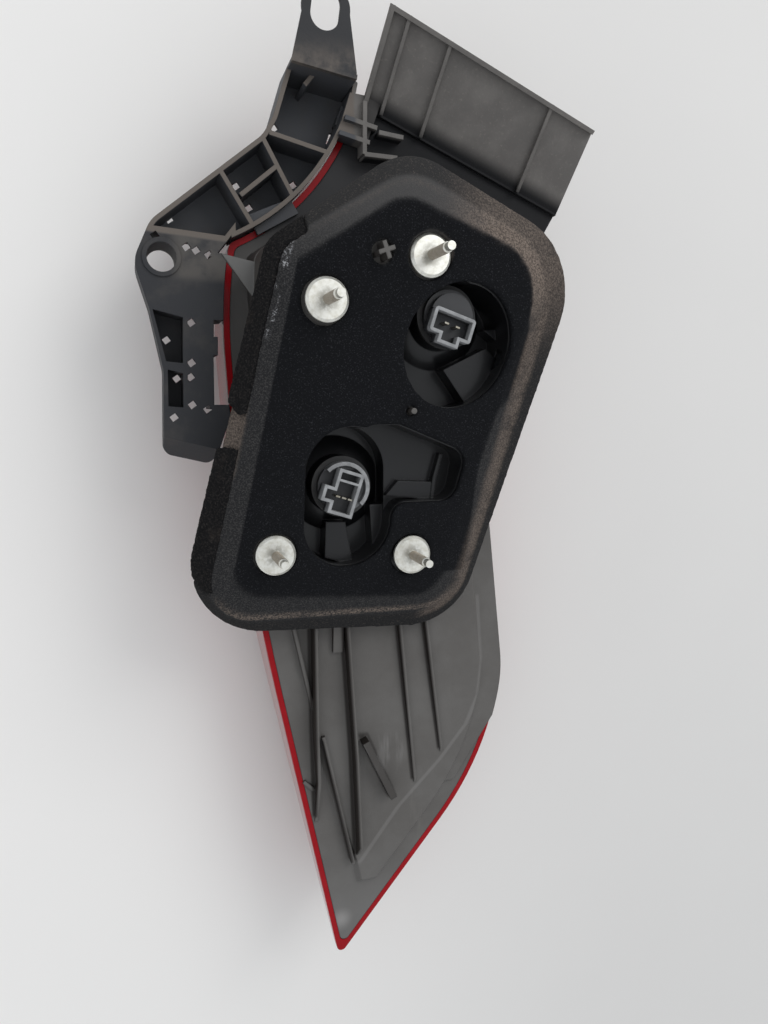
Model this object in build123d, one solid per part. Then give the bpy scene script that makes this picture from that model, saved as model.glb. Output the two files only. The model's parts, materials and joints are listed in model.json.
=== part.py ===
from build123d import *
from math import atan2, cos, degrees, hypot, radians, sin
import os

# Rear view of a car tail lamp: the lens faces down (-Z), the fixing studs point up (+Z),
# and the origin is the seat of the upper left stud, on the top of its flange.

# Fixing studs, mm
STUD_PLACES = ((0.0, 0.0), (49.5, 21.8), (-20.8, -120.2), (51.0, -124.4))
LOWER_SEAT_DROP = 26.0
STUD_FLANGE_D = 20.0
STUD_FLANGE_T = 3.0
STUD_RIM = 1.2
STUD_THREAD_D = 4.9
STUD_THREAD_L = 18.5
STUD_DOG_D = 3.9
STUD_DOG_L = 4.5
STUD_ROOT_L = 10.0
STUD_STEP = 0.6
BOSS_D = 16.0

# Foam pad, in its own tilted plane: corners and corner radii of three outlines
PAD_FACE = ((-16.2, 1.9), (34.2, 35.5), (110.4, 10.2), (65.4, -161.9), (-42.7, -152.8))
PAD_FACE_R = (12.0, 18.0, 28.0, 16.0, 17.0)
PAD_RIDGE = ((-20.2, 11.3), (38.4, 45.5), (114.5, 13.4), (79.1, -172.5), (-57.7, -169.6))
PAD_RIDGE_R = (13.0, 26.0, 32.0, 24.0, 22.0)
PAD_BASE = ((-25.0, 13.6), (39.6, 57.8), (138.8, 16.3), (86.8, -189.1), (-71.0, -179.6))
PAD_BASE_R = (17.0, 32.0, 42.0, 36.0, 40.0)
PAD_BELOW_SEAT = 2.5
RIDGE_DROP = 4.0
BASE_DROP = 16.0
PAD_EDGE = 3.5
SHEET_T = 4.0
DECK_INSET = 3.0
STUD_HOLE_GAP = 0.5
STRIP_T = 2.5
STRIP_GLUE = 0.2
STRIP_TOP = ((-90.0, 30.0), (-8.0, 30.0), (-8.0, -20.0))
UPPER_TEAR = ((-28.0, -62.0), (-38.3, -65.4), (-44.3, -57.5), (-90.0, -52.0))
LOWER_START = ((-90.0, -88.0), (-51.5, -84.6), (-43.7, -80.3), (-20.0, -79.0))
LOWER_TEAR = ((-38.0, -148.0), (-54.7, -155.4), (-60.9, -148.3), (-90.0, -144.0))

# Openings of the pad, seen along the studs
UPPER_OPENING = (68.0, -18.4)
UPPER_OPENING_RADII = (30.0, 27.4)
UPPER_OPENING_TURN = 64.5
LOWER_OPENING = (16.3, -92.9)
LOWER_OPENING_L = 71.5
LOWER_OPENING_W = 45.0
SIDE_POCKET = ((18.0, -56.5), (40.0, -56.5), (78.0, -71.5), (73.0, -96.0), (24.0, -96.0))
POCKET_R = 9.0
OPENING_EASE = 8.0
EASE_SHARE = 0.9
PEG_PLACE = (26.2, 22.0)
PEG_D = 8.0
PEG_H = 5.0
PEG_RIB_T = 2.0
PEG_TURN = 20.0
PIN_PLACE = (45.4, -49.6)
PIN_D = 3.0
PIN_H = 3.5
PEG_HOLE_GAP = 0.8

# Lens: outline at the rim, depth to the crown and the two radii of its front
LENS_TIP = (19.6, -379.0)
LENS_LEFT = (-15.0, -208.0)
LENS_WAIST = (-38.0, -20.0)
LENS_CORNER = (-34.3, 34.0)
LENS_NOTCH = (1.5, 59.0)
LENS_NECK = (28.0, 100.0)
LENS_CROWN_TOP = (60.0, 112.0)
LENS_RIGHT_TOP = (93.5, 60.0)
LENS_RIGHT = (122.6, -195.0)
LENS_TURN = (122.0, -222.0)
LENS_TAIL = (85.0, -300.9)
LENS_TIP_R = 3.0
LENS_CORNER_R = 5.0
RIM_Z = -66.0
LENS_WALL = 3.0
LENS_RIM_W = 5.0
LENS_RIM_H = 6.0
LENS_SEAT_W = 2.0
LENS_SEAT_H = 3.0
LENS_DEPTH = 56.0
CROWN = (40.0, -20.0)
FRONT_LONG_R = 1350.0
FRONT_CROSS_R = 230.0
FRONT_HALF_ANGLE = 20.0
FRONT_HALF_WIDTH = 140.0
LENS_FIT = 0.2

# Housing
WALL = 3.0
SHOULDER_INSET = 4.0
FOOT = ((-27.0, 27.0), (41.0, 73.0), (90.0, 36.0), (103.0, -170.0), (-14.0, -166.0))
FOOT_R = (8.0, 16.0, 18.0, 16.0, 16.0)
PANEL_INSET = 12.0
PANEL_RISE = 3.5
PANEL_SLOPE = 38.0
PANEL_ZONE = ((5.0, -120.0), (5.0, -233.5), (27.8, -317.0), (31.0, -332.0), (140.0, -332.0), (140.0, -120.0))
LIP_W = 13.0
LIP_T = 1.2
LIP_OVER = 0.4
LIP_ZONE = ((60.0, -90.0), (140.0, -90.0), (140.0, -206.0), (93.0, -276.0), (60.0, -276.0))
WELL_WALL = 2.5
WELL_DEPTH = 26.0
WELL_STEP_H = 10.5
UPPER_STEPS = (((66.3, -29.2), (80.0, -47.8), (104.0, -45.0), (98.0, -25.0), (90.0, -18.0)),
               ((88.2, -8.8), (101.7, -17.8), (103.0, -7.9)))
LOWER_STEPS = (((8.2, -107.0), (7.4, -125.9), (23.0, -131.3), (18.7, -107.6)),
               ((32.0, -99.0), (33.9, -127.7), (44.3, -116.4), (48.2, -98.5)))
POCKET_DEPTH = 13.0
POCKET_STEP = ((45.6, -86.0), (64.4, -87.2), (65.8, -97.1), (38.7, -93.6))
POCKET_STEP_H = 4.0
POCKET_RIB = ((69.6, -72.5), (65.8, -85.7), (64.6, -96.7))
POCKET_RIB_H = 6.0
FLANGE_ROOM = 1.5
BOSS_BOTTOM = 2.0
RIB_T = 2.0
TAIL_RIBS = ((((6.0, -160.0), (6.0, -232.5), (7.5, -262.0), (6.5, -288.0)), (9.0, 9.0, 6.0, 0.8)),
             (((23.2, -160.0), (28.6, -248.0), (30.8, -304.0), (31.0, -315.0)), (11.0, 11.0, 11.0, 1.0)),
             (((54.3, -160.0), (66.9, -271.4)), (8.5, 4.3)),
             (((70.0, -160.0), (83.7, -254.5)), (8.5, 4.3)),
             (((-7.5, -160.0), (5.1, -218.2)), (5.0, 2.5)),
             (((10.1, -234.2), (27.8, -317.1)), (6.0, 4.8)),
             (((-0.7, -261.9), (5.2, -267.7)), (1.2, 2.0)))
STOP = ((19.2, -160.0), (19.2, -185.0))
STOP_H = (9.0, 6.0)
STOP_W = 6.0
HOOK = ((34.0, -239.0), (51.0, -276.0))
HOOK_H = 11.0
HOOK_T = 4.0
HOOK_WINDOW = (18.0, 4.0)
HOOK_WINDOW_UP = 6.0
GUSSET = ((-40.5, 25.2), (-18.0, 21.0), (-24.0, 3.0))
GUSSET_Z = -46.0
GUSSET_T = 2.5

# Bulb holders: place, top of the flange
UPPER_HOLDER = (64.5, -4.1)
UPPER_FLANGE_Z = -14.2
LOWER_HOLDER = (14.6, -87.8)
LOWER_FLANGE_Z = -31.0
HOLDER_FLANGE_D = 26.0
HOLDER_FLANGE_T = 3.0
HOLDER_BODY_D = 21.0
HOLDER_BODY_L = 20.0
HOLDER_SOCKET_D = 15.0
HOLDER_SOCKET_L = 14.0
NECK_GAP = 0.4
SEAL_D = 31.0
SEAL_T = 2.0
SEAL_IN = 0.4
DOME_R = 44.0
DOME_RISE = 8.0
CONNECTOR = (22.0, 12.0)
CONNECTOR_H = 9.0
CONNECTOR_WALL = 1.6
CONNECTOR_TURN = -18.0
CONNECTOR_SHIFT = 5.0
KEY = (8.0, 4.0)
SHOULDER_D = 22.0
SHOULDER_H = 4.0
SHOULDER_CUT = 0.5
LOWER_PLUG = (13.0, 22.8)
LOWER_PLUG_TOP = 8.8
PLUG_SLOT_H = 3.4
PLUG_DIVIDER = 1.2
PLUG_STEP = (5.0, 8.0)
PLUG_STEP_Y = -5.0
PLUG_RING_T = 2.0
PLUG_RING_H = 4.0
PLUG_RING_TURN = -28.0
BLADE = (2.2, 0.8)
BLADE_L = 8.0
UPPER_BLADES = (-3.0, 3.0)
LOWER_BLADES = (-3.2, 0.0, 3.2)
CONTACT_L = 8.0
CONTACT_H = 3.0
BULB_D = 18.0
BULB_L = 34.0
BULB_WALL = 1.0
BULB_BASE = (13.0, 5.0)
BULB_GAP = 0.5
BULB_NECK = 3.0
LEAD_D = 0.8
LEAD_BEND = 0.6
FILAMENT_DEEP = 18.0

# Reflector
REFLECTOR_T = 2.0
REFLECTOR_INSET = 8.0
UPPER_BOWL_R = 21.0
LOWER_BOWL_R = 28.0
BOWL_HOLE_R = 10.5
BOWL_GAP = 1.5

# Side bracket with the tray
BRACKET_TOP = -58.0
BRACKET_DEEP = 22.0
BRACKET_WALL = 2.2
BRACKET_FLOOR = 2.0
BRACKET_GAP = 1.0
BRACKET_EDGE = ((-3.6, 120.5), (-12.1, 94.2), (-17.5, 85.0), (-72.4, 41.0), (-81.0, 22.0),
                (-74.6, 0.0), (-69.0, -30.0), (-70.5, -72.0), (-46.2, -78.0))
BRACKET_EDGE_R = (2.0, 10.0, 14.0, 16.0, 14.0, 20.0, 16.0, 6.0, 4.0)
BRACKET_INSIDE = ((-36.0, -50.0), (-20.0, 0.0), (20.0, 60.0), (31.7, 115.3))
BRACKET_INSIDE_R = 1.0
RIBS = (((-14.0, 86.6), (22.0, 78.6)), ((-17.5, 84.0), (-2.0, 56.0)),
        ((-29.0, 55.8), (-11.0, 70.8)), ((-39.0, 67.4), (-23.0, 41.5)), ((9.4, 117.0), (4.1, 110.6)))
SHELF = ((-79.0, 38.0), (-36.0, 34.7))
END_EDGE = ((-62.5, -64.5), (-44.5, -69.1))
END_SLOPE = 63.0
FLOOR_SLOT = ((19.7, 90.5), (21.6, 96.0), (26.0, 96.0), (24.1, 90.5))
TONGUE = ((24.0, 98.0), (27.5, 107.5))
TONGUE_H = 9.0
CELL_HOLE = (3.4, 3.0)
CELL_HOLE_TURN = 35.0
CELL_HOLES = ((-7.9, 95.5), (-11.7, 90.2), (-15.9, 86.9), (-11.4, 79.0), (-7.9, 73.4), (-33.2, 73.0),
              (-38.4, 68.2), (-28.3, 65.1), (-25.4, 59.5), (-21.9, 54.8), (-27.2, 49.4), (-3.3, 66.3),
              (1.6, 68.2), (14.4, 82.8), (0.4, 118.0), (-62.4, 46.2))
PLATE_HOLES = ((-70.5, 34.0), (-56.0, 29.6), (-51.4, 28.2), (-45.4, 26.4), (-55.0, -6.4), (-64.9, -53.0),
               (-55.5, -26.0), (-56.2, -33.0), (-55.8, -46.8), (-48.4, -49.0))
WINDOW_UPPER = ((-73.0, -0.6), (-58.8, -4.0), (-59.6, -26.2), (-67.6, -25.4))
WINDOW_LOWER = ((-67.0, -29.4), (-59.7, -31.2), (-60.2, -48.0), (-67.4, -47.4))
WINDOW_DEEP = 16.0
WINDOW_SLOTS = ((-66.4, -14.0), (-62.0, -33.4))
SIDE_GAP = ((-44.0, -4.8), (-34.0, -4.6), (-34.0, -46.8), (-45.0, -46.8), (-44.6, -22.0), (-42.4, -22.0),
            (-42.2, -13.0), (-44.2, -13.0))
CORNER_GAP = ((-41.0, 27.6), (-34.0, 36.4), (-34.0, 27.0))
BORE_PLACE = (-67.8, 24.1)
BORE_D = 14.0
BORE_WALL = 2.2
BORE_RING = 0.8
TAB_Z = -48.0
TAB_T = 2.5
TAB = ((-4.2, 118.0), (28.4, 113.4), (23.6, 151.0), (3.0, 148.0))
TAB_R = (1.5, 1.5, 8.0, 8.0)
TAB_END = (13.0, 143.0)
TAB_END_D = 24.0
EYE = (12.7, 142.4)
EYE_L = 20.0
EYE_W = 14.4
EYE_TURN = 82.0
CLIP = ((-24.5, 48.0), (-3.3, 57.4), (1.0, 50.5), (-20.0, 38.5))
CLIP_T = 3.0

# Tray: corners of its sloped plate
TRAY_LEFT = (42.5, 144.6, -38.0)
TRAY_RIGHT = (157.6, 99.5, -38.0)
TRAY_LOW = (149.7, 60.6, -60.0)
TRAY_T = 2.2
TRAY_LIP = 3.0
TRAY_LIP_T = 2.2
TRAY_RIB_PLACES = (10.5, 34.0, 96.0)
TRAY_RIB_H = 2.4
TRAY_RIB_T = 1.8
POST_END = (34.3, 80.2)
POST_LOW = -64.5
POST_FOOT = (52.0, 80.0)
POST_Z = -55.0
POST_T = 2.2
BARS = (((24.0, 97.0), (41.0, 93.4)), ((21.0, 89.4), (37.0, 86.0)), ((42.1, 91.5), (55.3, 90.3)))
LINK = ((27.5, 109.9), (44.7, 108.7), (36.5, 86.7), (21.0, 90.1))
APRON_LOW = (140.0, 44.0)


# Derived planes and levels
def mean_y(pair):
    return sum(place[1] for place in pair) / len(pair)


UPPER_Y = mean_y(STUD_PLACES[:2])
PAD_TILT = degrees(atan2(LOWER_SEAT_DROP, UPPER_Y - mean_y(STUD_PLACES[2:])))
PAD_PLANE = Plane(origin=(0, UPPER_Y, -PAD_BELOW_SEAT), x_dir=(1, 0, 0),
                  z_dir=(0, -sin(radians(PAD_TILT)), cos(radians(PAD_TILT))))
FLANGE_Z = RIM_Z - LENS_SEAT_H
BRACKET_LOW = BRACKET_TOP - BRACKET_DEEP
REACH = 400.0
CUT_OVER = 1.0


def face_z(place, below=0.0):
    """Height of the pad's face, or of a level below it, over a place in plan."""
    rise = (place[1] - UPPER_Y) * sin(radians(PAD_TILT)) / cos(radians(PAD_TILT))
    return rise - PAD_BELOW_SEAT - below / cos(radians(PAD_TILT))


def seat_z(index):
    return 0.0 if index < 2 else -LOWER_SEAT_DROP


def rounded(corners, radii):
    return make_face(FilletPolyline(*corners, radius=radii, close=True))


def polygon(corners):
    return make_face(Polyline(*corners, close=True))


def tilted(outline, drop):
    return PAD_PLANE.offset(-drop) * outline


def column(outline, low, high):
    return extrude(Pos(0, 0, low) * outline, amount=high - low, dir=(0, 0, 1))


def cylinder(place, diameter, low, high):
    return column(Pos(*place) * Circle(diameter / 2), low, high)


def strip(start, end, width):
    """A straight band in plan between two points."""
    run = (end[0] - start[0], end[1] - start[1])
    middle = ((start[0] + end[0]) / 2, (start[1] + end[1]) / 2)
    return Pos(*middle) * Rot(0, 0, degrees(atan2(run[1], run[0]))) * Rectangle(hypot(*run), width)


def fin(places, heights, base, width):
    """A standing rib along a path in plan, with its own height at each point."""
    body = None
    for (start, end), (first, last) in zip(zip(places, places[1:]), zip(heights, heights[1:])):
        run = (end[0] - start[0], end[1] - start[1], 0)
        side = Plane(origin=(*start, base), x_dir=run, z_dir=(run[1], -run[0], 0))
        length = hypot(*run[:2])
        profile = polygon(((0, 0), (length, 0), (length, last), (0, first)))
        piece = extrude(side * profile, amount=width / 2, both=True)
        body = piece if body is None else body + piece
    return body


# Lens
def lens_outline():
    tail = Line(LENS_TIP, LENS_LEFT)
    flank = TangentArc(LENS_LEFT, LENS_WAIST, tangent=tail % 1)
    waist = TangentArc(LENS_WAIST, LENS_CORNER, tangent=flank % 1)
    notch = ThreePointArc(LENS_CORNER, LENS_NOTCH, LENS_NECK)
    under = Line(LENS_TIP, LENS_TAIL)
    turn = TangentArc(LENS_TAIL, LENS_TURN, tangent=under % 1)
    bend = TangentArc(LENS_TURN, LENS_RIGHT, tangent=turn % 1)
    right = Line(LENS_RIGHT, LENS_RIGHT_TOP)
    shoulder = TangentArc(LENS_RIGHT_TOP, LENS_CROWN_TOP, tangent=right % 1)
    top = TangentArc(LENS_CROWN_TOP, LENS_NECK, tangent=shoulder % 1)
    return make_face([tail, flank, waist, notch, under, turn, bend, right, shoulder, top])


def inset(outline, amount):
    return offset(outline, amount=-amount, kind=Kind.INTERSECTION)


def lens_plan(depth=0.0):
    """The lens outline, or a line inside it, with its tip and its left corner rounded."""
    outline = inset(LENS_SHARP, depth) if depth else LENS_SHARP
    for place, radius in ((LENS_TIP, LENS_TIP_R), (LENS_CORNER, LENS_CORNER_R)):
        outline = fillet(outline.vertices().sort_by_distance((*place, 0))[0], radius)
    return outline


LENS_SHARP = lens_outline()


def front_slab(depth):
    """Everything behind the lens front, or behind a surface inside it, as a turned slab."""
    cut = LENS_DEPTH - depth
    low = RIM_Z - cut
    radius = FRONT_CROSS_R - depth
    centre = low + radius
    lift = centre - (radius**2 - FRONT_HALF_WIDTH**2)**0.5
    left = (CROWN[0] - FRONT_HALF_WIDTH, lift)
    right = (CROWN[0] + FRONT_HALF_WIDTH, lift)
    top = low + 2 * LENS_DEPTH
    edges = [ThreePointArc(left, (CROWN[0], low), right), Line(right, (right[0], top)),
             Line((right[0], top), (left[0], top)), Line((left[0], top), left)]
    profile = Plane(origin=(0, CROWN[1], 0), x_dir=(1, 0, 0), z_dir=(0, -1, 0)) * make_face(edges)
    axis = Axis((0, CROWN[1], RIM_Z - LENS_DEPTH + FRONT_LONG_R), (1, 0, 0))
    start = profile.rotate(axis, -FRONT_HALF_ANGLE)
    return revolve(start, axis=axis, revolution_arc=2 * FRONT_HALF_ANGLE)


def outer_lens():
    low = RIM_Z - LENS_DEPTH - CUT_OVER
    shell = column(lens_plan(), low, RIM_Z) & front_slab(0)
    shell -= column(lens_plan(LENS_WALL), low, RIM_Z - LENS_RIM_H) & front_slab(LENS_WALL)
    shell -= column(lens_plan(LENS_RIM_W), RIM_Z - LENS_RIM_H - CUT_OVER, RIM_Z)
    shell -= column(lens_plan(LENS_RIM_W - LENS_SEAT_W), FLANGE_Z, RIM_Z)
    return shell


# Openings of the pad and the wells under them
def upper_opening(grow=0.0):
    radii = [radius + grow for radius in UPPER_OPENING_RADII]
    return Pos(*UPPER_OPENING) * Rot(0, 0, UPPER_OPENING_TURN) * Ellipse(*radii)


def lower_slot(grow=0.0):
    slot = SlotOverall(LOWER_OPENING_L + 2 * grow, LOWER_OPENING_W + 2 * grow)
    return Pos(*LOWER_OPENING) * Rot(0, 0, 90) * slot


def lower_opening():
    """The slot and the pocket beside it as one outline, with the corner between them eased."""
    corner = (LOWER_OPENING[0] + LOWER_OPENING_W / 2, SIDE_POCKET[-1][1], 0)
    straight = corner[1] - LOWER_OPENING[1] + (LOWER_OPENING_L - LOWER_OPENING_W) / 2
    outline = lower_slot() + rounded(SIDE_POCKET, POCKET_R)
    return fillet(outline.vertices().sort_by_distance(corner)[0], min(OPENING_EASE, EASE_SHARE * straight))


def flange_room(place, grow=0.0):
    return Pos(*place) * Circle(SEAL_D / 2 + FLANGE_ROOM + grow)


# Foam pad and its side strips
def pad_side(depth):
    """The pad between its base and its ridge, or a surface inside it."""
    base = inset(rounded(PAD_BASE, PAD_BASE_R), depth) if depth else rounded(PAD_BASE, PAD_BASE_R)
    ridge = inset(rounded(PAD_RIDGE, PAD_RIDGE_R), depth) if depth else rounded(PAD_RIDGE, PAD_RIDGE_R)
    edge = extrude(tilted(base, BASE_DROP), amount=PAD_EDGE)
    return edge + loft([tilted(base, BASE_DROP - PAD_EDGE), tilted(ridge, RIDGE_DROP)], ruled=True)


def strip_zone(start, end):
    """The left edge of the pad between two torn lines across it, cut square through the pad."""
    outline = polygon((*start, *end))
    return extrude(tilted(outline, BASE_DROP + CUT_OVER), amount=BASE_DROP + 2 * CUT_OVER)


def foam_strips():
    skin = pad_side(0) - pad_side(STRIP_T)
    zones = (strip_zone(STRIP_TOP, UPPER_TEAR), strip_zone(LOWER_START, LOWER_TEAR))
    return [(skin & zone).solids().sort_by(SortBy.VOLUME)[-1] for zone in zones]


def foam_gasket():
    ridge = rounded(PAD_RIDGE, PAD_RIDGE_R)
    face = rounded(PAD_FACE, PAD_FACE_R)
    body = pad_side(0) + loft([tilted(ridge, RIDGE_DROP), tilted(face, 0)], ruled=True)
    body -= (pad_side(0) - pad_side(STRIP_T + STRIP_GLUE)) & strip_zone(STRIP_TOP, LOWER_TEAR)
    body -= deck(0)
    low, high = -REACH / 4, REACH / 4
    body -= column(upper_opening(), low, high)
    body -= column(lower_opening(), low, high)
    for place in STUD_PLACES:
        body -= cylinder(place, STUD_FLANGE_D + 2 * STUD_HOLE_GAP, low, high)
    body -= cylinder(PEG_PLACE, PEG_D + 2 * PEG_HOLE_GAP, low, high)
    body -= cylinder(PIN_PLACE, PIN_D + 2 * PEG_HOLE_GAP, low, high)
    return body


def mounting_studs():
    studs = []
    for index, place in enumerate(STUD_PLACES):
        seat = Pos(*place, seat_z(index))
        half = STUD_FLANGE_D / 2
        root = -STUD_FLANGE_T - STUD_ROOT_L
        outline = Polyline((0, root), (STUD_THREAD_D / 2, root), (STUD_THREAD_D / 2, -STUD_FLANGE_T),
                           (half, -STUD_FLANGE_T), (half, -STUD_RIM), (half - STUD_RIM, 0),
                           (STUD_THREAD_D / 2, 0), (STUD_THREAD_D / 2, STUD_THREAD_L),
                           (STUD_DOG_D / 2, STUD_THREAD_L + STUD_STEP),
                           (STUD_DOG_D / 2, STUD_THREAD_L + STUD_DOG_L), (0, STUD_THREAD_L + STUD_DOG_L),
                           close=True)
        studs.append(seat * revolve(Plane.XZ * make_face(outline), axis=Axis.Z))
    return studs


# Housing
def pedestal(depth):
    """The body under the pad, from its foot at the rim up to the shoulder, or a surface inside it."""
    top = tilted(inset(rounded(PAD_BASE, PAD_BASE_R), SHOULDER_INSET + depth), BASE_DROP + depth)
    outline = rounded(FOOT, FOOT_R)
    foot = Pos(0, 0, RIM_Z - depth) * (inset(outline, depth) if depth else outline)
    return loft([foot, top], ruled=True)


def deck(depth):
    """The raised top that the pad's sheet lies on, or a surface inside it."""
    outline = inset(rounded(PAD_FACE, PAD_FACE_R), DECK_INSET + depth)
    low = BASE_DROP + WALL + CUT_OVER
    return extrude(tilted(outline, low), amount=low - SHEET_T - depth)


def panel_outline():
    return lens_plan(PANEL_INSET) & polygon(PANEL_ZONE)


def tail_panel():
    """The raised back of the tail, with its sloped border."""
    return extrude(Pos(0, 0, RIM_Z) * panel_outline(), amount=PANEL_RISE, taper=PANEL_SLOPE)


def tail_ribs():
    ribs = fin(STOP, STOP_H, RIM_Z, STOP_W)
    for places, heights in TAIL_RIBS:
        ribs += fin(places, heights, RIM_Z, RIB_T)
    hook = fin(HOOK, (HOOK_H, HOOK_H), RIM_Z, HOOK_T)
    middle = ((HOOK[0][0] + HOOK[1][0]) / 2, (HOOK[0][1] + HOOK[1][1]) / 2)
    turn = degrees(atan2(HOOK[1][1] - HOOK[0][1], HOOK[1][0] - HOOK[0][0]))
    window = Rot(0, 0, turn) * Box(HOOK_WINDOW[0], 3 * HOOK_T, HOOK_WINDOW[1])
    return ribs + (hook - Pos(*middle, RIM_Z + HOOK_WINDOW_UP) * window)


def side_lip():
    """The edge on the right that covers the lens rim."""
    band = lens_plan(-LIP_OVER) - lens_plan(LIP_W)
    return column(band & polygon(LIP_ZONE), RIM_Z, RIM_Z + LIP_T)


def well_floor(place):
    return face_z(place, SHEET_T) - WELL_DEPTH


def neck_seat(flange_z):
    return flange_z - HOLDER_FLANGE_T - SEAL_T


def neck_bore():
    return HOLDER_BODY_D + 2 * NECK_GAP


def dome(place, floor, depth):
    """The back of a reflector bowl at the bottom of a well, or a surface inside it."""
    return Pos(*place, floor + DOME_RISE - DOME_R) * Sphere(DOME_R - depth)


def add_well(body, opening, place, flange_z, hull):
    """A well in the deck, with the dome and the neck that carry a bulb holder."""
    floor = well_floor(place)
    high = REACH / 4
    room, around, within = [opening(grow) + flange_room(place, grow) for grow in (0.0, WELL_WALL, -WELL_WALL)]
    block = column(around, floor - WELL_WALL, high) & hull
    block -= column(room, floor, high) - dome(place, floor, 0)
    block -= dome(place, floor, WELL_WALL) & column(within, -REACH, floor + DOME_RISE)
    neck = cylinder(place, SEAL_D, floor, neck_seat(flange_z))
    return body - column(room, floor, high) + block + neck - cylinder(place, neck_bore(), -REACH, high)


def well_steps(opening, place, outlines):
    """The raised parts of a well's floor."""
    floor = well_floor(place)
    steps = Sketch()
    for corners in outlines:
        steps += polygon(corners)
    return column(steps & opening(), floor - WELL_WALL / 2, floor + WELL_STEP_H)


def add_pocket(body, hull):
    """The shallow pocket beside the lower well, with a step and a rib on its floor."""
    floor = well_floor(LOWER_HOLDER) + WELL_DEPTH - POCKET_DEPTH
    well = lower_slot() + flange_room(LOWER_HOLDER)
    pocket = lower_opening() - well
    around = offset(lower_opening(), amount=WELL_WALL) - well
    body += column(around, floor - WELL_WALL, REACH / 4) & hull
    body -= column(pocket, floor, REACH / 4)
    raised = column(polygon(POCKET_STEP), floor - WELL_WALL / 2, floor + POCKET_STEP_H)
    raised += fin(POCKET_RIB, [POCKET_RIB_H] * len(POCKET_RIB), floor - WELL_WALL / 2, RIB_T)
    return body + (raised & column(pocket, floor - WELL_WALL, REACH / 4))


def locating_peg():
    low = face_z(PEG_PLACE, SHEET_T + CUT_OVER)
    high = face_z(PEG_PLACE) + PEG_H
    cross = Rectangle(PEG_D, PEG_RIB_T) + Rectangle(PEG_RIB_T, PEG_D)
    peg = column(Pos(*PEG_PLACE) * Rot(0, 0, PEG_TURN) * cross, low, high)
    low = face_z(PIN_PLACE, SHEET_T + CUT_OVER)
    return peg + cylinder(PIN_PLACE, PIN_D, low, face_z(PIN_PLACE) + PIN_H)


def stud_bosses():
    bosses = []
    for index, place in enumerate(STUD_PLACES):
        top = seat_z(index) - STUD_FLANGE_T
        bosses.append(cylinder(place, BOSS_D, top - STUD_ROOT_L - BOSS_BOTTOM, top))
    return bosses


def lamp_housing():
    hull = pedestal(0) + deck(0)
    body = column(lens_plan(LENS_RIM_W - LENS_SEAT_W + LENS_FIT), FLANGE_Z, RIM_Z) + hull + tail_panel()
    body -= column(inset(panel_outline(), WALL), FLANGE_Z - CUT_OVER, RIM_Z + PANEL_RISE - WALL)
    body -= pedestal(WALL)
    body -= deck(WALL)
    body = add_well(body, upper_opening, UPPER_HOLDER, UPPER_FLANGE_Z, hull)
    body = add_well(body, lower_slot, LOWER_HOLDER, LOWER_FLANGE_Z, hull)
    body += well_steps(upper_opening, UPPER_HOLDER, UPPER_STEPS)
    body += well_steps(lower_slot, LOWER_HOLDER, LOWER_STEPS)
    body = add_pocket(body, hull)
    for boss in stud_bosses():
        body += boss
    for stud in mounting_studs():
        body -= stud
    body += locating_peg()
    body += tail_ribs() - pedestal(WALL)
    body += side_lip()
    body += column(polygon(GUSSET), GUSSET_Z - GUSSET_T, GUSSET_Z) - pedestal(WALL)
    return body


# Bulb holders
def holder_frame(place):
    return Pos(*place) * Rot(0, 0, CONNECTOR_TURN)


def holder_mouth(flange_z):
    return flange_z - HOLDER_FLANGE_T - HOLDER_BODY_L


def contact_z(flange_z):
    return holder_mouth(flange_z) + HOLDER_SOCKET_L - CONTACT_L


def open_collar(outer, inner, base):
    """A plug collar that is open at the top and has a floor."""
    high = base + CONNECTOR_H
    return column(outer, base, high) - column(inner, base + CONNECTOR_WALL, high)


def upper_collar(place, base):
    """The wide collar with a key at one side, and the half round behind it."""
    key = Pos(0, -CONNECTOR[1] / 2)
    outer = RectangleRounded(*CONNECTOR, CONNECTOR_WALL)
    outer += key * Rectangle(KEY[0] + 2 * CONNECTOR_WALL, 2 * KEY[1])
    inner = Rectangle(CONNECTOR[0] - 2 * CONNECTOR_WALL, CONNECTOR[1] - 2 * CONNECTOR_WALL)
    inner += key * Rectangle(KEY[0], 2 * (KEY[1] - CONNECTOR_WALL))
    half = Circle(SHOULDER_D / 2) - Pos(0, -SHOULDER_D / 2 + SHOULDER_CUT) * Rectangle(SHOULDER_D, SHOULDER_D)
    body = Pos(0, -CONNECTOR_SHIFT) * open_collar(outer, inner, base)
    return holder_frame(place) * (body + column(half, base, base + SHOULDER_H))


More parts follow.
